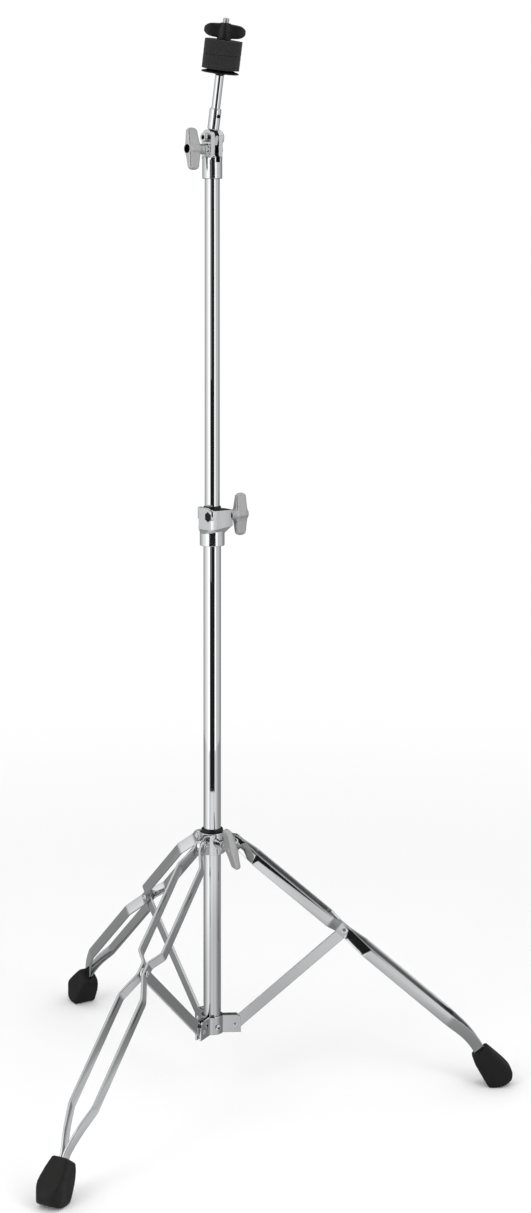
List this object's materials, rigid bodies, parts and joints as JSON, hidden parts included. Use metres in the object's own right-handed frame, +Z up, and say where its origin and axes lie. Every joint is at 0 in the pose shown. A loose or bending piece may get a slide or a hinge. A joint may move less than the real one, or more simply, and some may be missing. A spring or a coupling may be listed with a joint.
{
  "type": "cymbal stand",
  "caption": "Straight chrome cymbal stand with a folding double-strip tripod, a telescoping upper tube, a tilter and a felt-cushioned cymbal rod.",
  "frame": {"origin": "on the floor, under the middle of the stand's box; the tubes stand 88.7 mm towards -X of it", "axes": "+Z up along the tubes, +X towards the right leg, the front leg towards -Y"},
  "size_m": [0.5856, 0.6746, 1.3529],
  "materials": {
    "polished_chrome": "mirror plated",
    "cast_chrome": "plated die casting",
    "blasted_chrome": "satin, blasted then plated",
    "black_rubber": "matte moulded",
    "black_plastic": "moulded",
    "black_nylon": "moulded",
    "black_felt": "pressed wool felt"
  },
  "bodies": {
    "base": {"base_tube": "polished_chrome", "bracket_plate_a": "polished_chrome", "bracket_plate_b": "polished_chrome", "bracket_plate_c": "polished_chrome", "bracket_screw_a": "polished_chrome", "bracket_screw_b": "polished_chrome", "bracket_screw_c": "polished_chrome", "bracket_rivet_right": "polished_chrome", "bracket_rivet_rear": "polished_chrome", "bracket_rivet_front": "polished_chrome", "height_clamp": "cast_chrome", "clamp_bolt": "polished_chrome", "clamp_washer": "polished_chrome"},
    "bushing": {"tube_bushing": "black_nylon"},
    "clamp_nut": {"clamp_wing_nut": "blasted_chrome"},
    "upper": {"upper_tube": "polished_chrome", "tilter_base": "cast_chrome", "pivot_bolt": "polished_chrome", "pivot_nut": "polished_chrome", "tilter_clamp_bolt": "polished_chrome", "tilter_washer": "polished_chrome"},
    "tilter_nut": {"tilter_wing_nut": "blasted_chrome"},
    "arm": {"tilter_arm": "cast_chrome", "set_screw": "polished_chrome", "cymbal_rod": "polished_chrome", "cymbal_seat": "black_plastic", "cymbal_sleeve": "black_nylon", "lower_felt": "black_felt"},
    "top_felt": {"upper_felt": "black_felt"},
    "top_nut": {"top_wing_nut": "black_plastic"},
    "collar": {"leg_collar": "cast_chrome", "collar_liner": "black_nylon", "collar_rivet_right": "polished_chrome", "collar_rivet_rear": "polished_chrome", "collar_rivet_front": "polished_chrome"},
    "collar_bolt": {"collar_wing_bolt": "blasted_chrome"},
    "brace_right": {"brace_right": "polished_chrome"},
    "leg_right": {"leg_right_strip_a": "polished_chrome", "leg_right_strip_b": "polished_chrome", "leg_right_foot": "black_rubber", "leg_right_mid_rivet": "polished_chrome"},
    "brace_rear": {"brace_rear": "polished_chrome"},
    "leg_rear": {"leg_rear_strip_a": "polished_chrome", "leg_rear_strip_b": "polished_chrome", "leg_rear_foot": "black_rubber", "leg_rear_mid_rivet": "polished_chrome"},
    "brace_front": {"brace_front": "polished_chrome"},
    "leg_front": {"leg_front_strip_a": "polished_chrome", "leg_front_strip_b": "polished_chrome", "leg_front_foot": "black_rubber", "leg_front_mid_rivet": "polished_chrome"}
  },
  "joints": [
    {"name": "leg_fold", "type": "hinge", "parent": "base", "child": "brace_right", "pos_m": [-0.05969, 0, 0.08077], "axis": [0, 1, 0], "range_deg": [-45, 15]},
    {"name": "leg_right_pivot", "type": "hinge", "parent": "brace_right", "child": "leg_right", "pos_m": [0.07897, 0, 0.19712], "axis": [0, 1, 0], "range_deg": [-30.01, 90.01]},
    {"name": "collar_pivot", "type": "hinge", "parent": "leg_right", "child": "collar", "pos_m": [-0.05969, 0, 0.31346], "axis": [0, 1, 0], "range_deg": [-45.01, 15.01]},
    {"name": "leg_rear_pivot", "type": "hinge", "parent": "collar", "child": "leg_rear", "pos_m": [-0.10319, 0.02511, 0.31346], "axis": [-0.866, -0.5, 0], "range_deg": [-15.01, 45.01]},
    {"name": "leg_front_pivot", "type": "hinge", "parent": "collar", "child": "leg_front", "pos_m": [-0.10319, -0.02511, 0.31346], "axis": [0.866, -0.5, 0], "range_deg": [-15.01, 45.01]},
    {"name": "brace_rear_pivot", "type": "hinge", "parent": "base", "child": "brace_rear", "pos_m": [-0.10319, 0.02511, 0.08077], "axis": [-0.866, -0.5, 0], "range_deg": [-45.01, 15.01]},
    {"name": "brace_front_pivot", "type": "hinge", "parent": "base", "child": "brace_front", "pos_m": [-0.10319, -0.02511, 0.08077], "axis": [0.866, -0.5, 0], "range_deg": [-45.01, 15.01]},
    {"name": "collar_bolt_turn", "type": "hinge", "parent": "collar", "child": "collar_bolt", "pos_m": [-0.08869, 0, 0.31346], "axis": [0.5, -0.866, 0], "continuous": true},
    {"name": "clamp_nut_turn", "type": "hinge", "parent": "base", "child": "clamp_nut", "pos_m": [-0.07936, -0.01238, 0.72527], "axis": [0.7986, 0.6018, 0], "continuous": true},
    {"name": "upper_turn", "type": "hinge", "parent": "base", "child": "bushing", "pos_m": [-0.08869, 0, 0.7], "axis": [0, 0, 1], "continuous": true},
    {"name": "height", "type": "slide", "parent": "bushing", "child": "upper", "axis": [0, 0, 1], "range_m": [-0.4, 0.07]},
    {"name": "tilter_nut_turn", "type": "hinge", "parent": "upper", "child": "tilter_nut", "pos_m": [-0.08869, 0, 1.18797], "axis": [-0.7986, -0.6018, 0], "continuous": true},
    {"name": "tilt", "type": "hinge", "parent": "upper", "child": "arm", "pos_m": [-0.08869, 0, 1.20297], "axis": [0.7986, 0.6018, 0], "range_deg": [-91, 69]},
    {"name": "felt_lift", "type": "slide", "parent": "arm", "child": "top_felt", "axis": [0.1148, -0.1524, 0.9816], "range_m": [0, 0.008]},
    {"name": "top_nut_turn", "type": "hinge", "parent": "top_felt", "child": "top_nut", "pos_m": [-0.08869, 0, 1.20297], "axis": [0.1148, -0.1524, 0.9816], "continuous": true}
  ],
  "couplings": [
    {"joint": "leg_right_pivot", "follows": "leg_fold", "ratio": -2},
    {"joint": "collar_pivot", "follows": "leg_fold", "ratio": 1},
    {"joint": "leg_rear_pivot", "follows": "leg_fold", "ratio": -1},
    {"joint": "leg_front_pivot", "follows": "leg_fold", "ratio": -1},
    {"joint": "brace_rear_pivot", "follows": "leg_fold", "ratio": 1},
    {"joint": "brace_front_pivot", "follows": "leg_fold", "ratio": 1}
  ]
}
